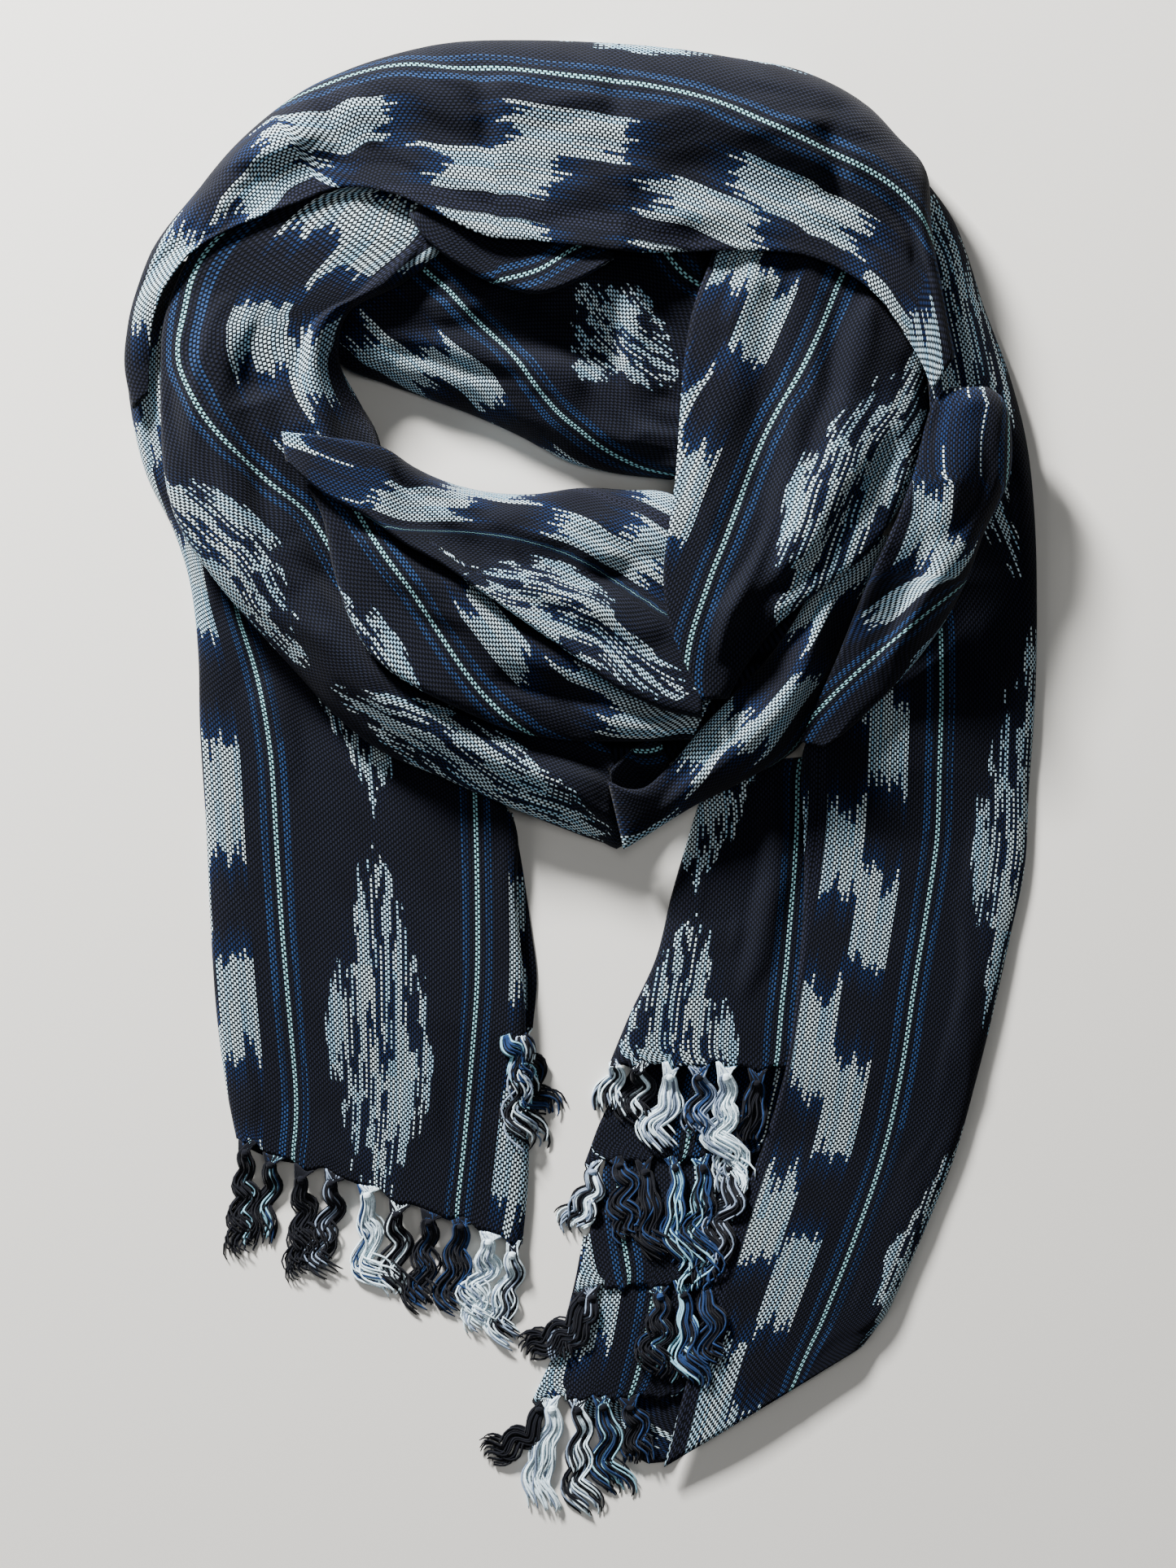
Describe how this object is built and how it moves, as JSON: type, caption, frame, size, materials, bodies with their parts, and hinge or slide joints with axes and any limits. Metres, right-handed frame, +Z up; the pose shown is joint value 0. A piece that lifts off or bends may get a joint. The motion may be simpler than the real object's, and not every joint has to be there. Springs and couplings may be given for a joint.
{
  "type": "scarf",
  "caption": "Long woven ikat scarf with knotted fringes, laid flat in a loose neck loop with both ends below it.",
  "frame": {"origin": "the middle of the laid scarf's bounding box, on the surface it lies on", "axes": "+Z up from that surface, +Y towards the top of the neck loop with the fringed ends towards -Y, +X towards the long right tail as seen from above"},
  "size_m": [0.4511, 0.734, 0.0475],
  "materials": {
    "ikat_cloth": "dull plain-weave cotton, black-navy ground with white and blue ikat blocks and a turquoise stripe",
    "hidden_layers": "the same cotton, out of sight",
    "yarn": "dull loose cotton yarn, white, blue, turquoise and navy"
  },
  "bodies": {
    "root": {"left_tail": "ikat_cloth", "left_under_edge": "ikat_cloth", "outer_arc": "ikat_cloth", "left_band": "ikat_cloth", "front_band": "ikat_cloth", "front_roll": "ikat_cloth", "back_band": "ikat_cloth", "inner_curl": "ikat_cloth", "inner_band": "ikat_cloth", "crossing_band": "ikat_cloth", "right_fold": "ikat_cloth", "right_tail": "ikat_cloth", "upper_end": "ikat_cloth", "middle_end": "ikat_cloth", "third_end": "ikat_cloth", "lower_end": "ikat_cloth", "bottom_fold": "ikat_cloth", "hidden_core": "hidden_layers", "fringe_left": "yarn", "fringe_left_under": "yarn", "fringe_upper": "yarn", "fringe_middle": "yarn", "fringe_third": "yarn", "fringe_lower": "yarn"}
  },
  "joints": []
}
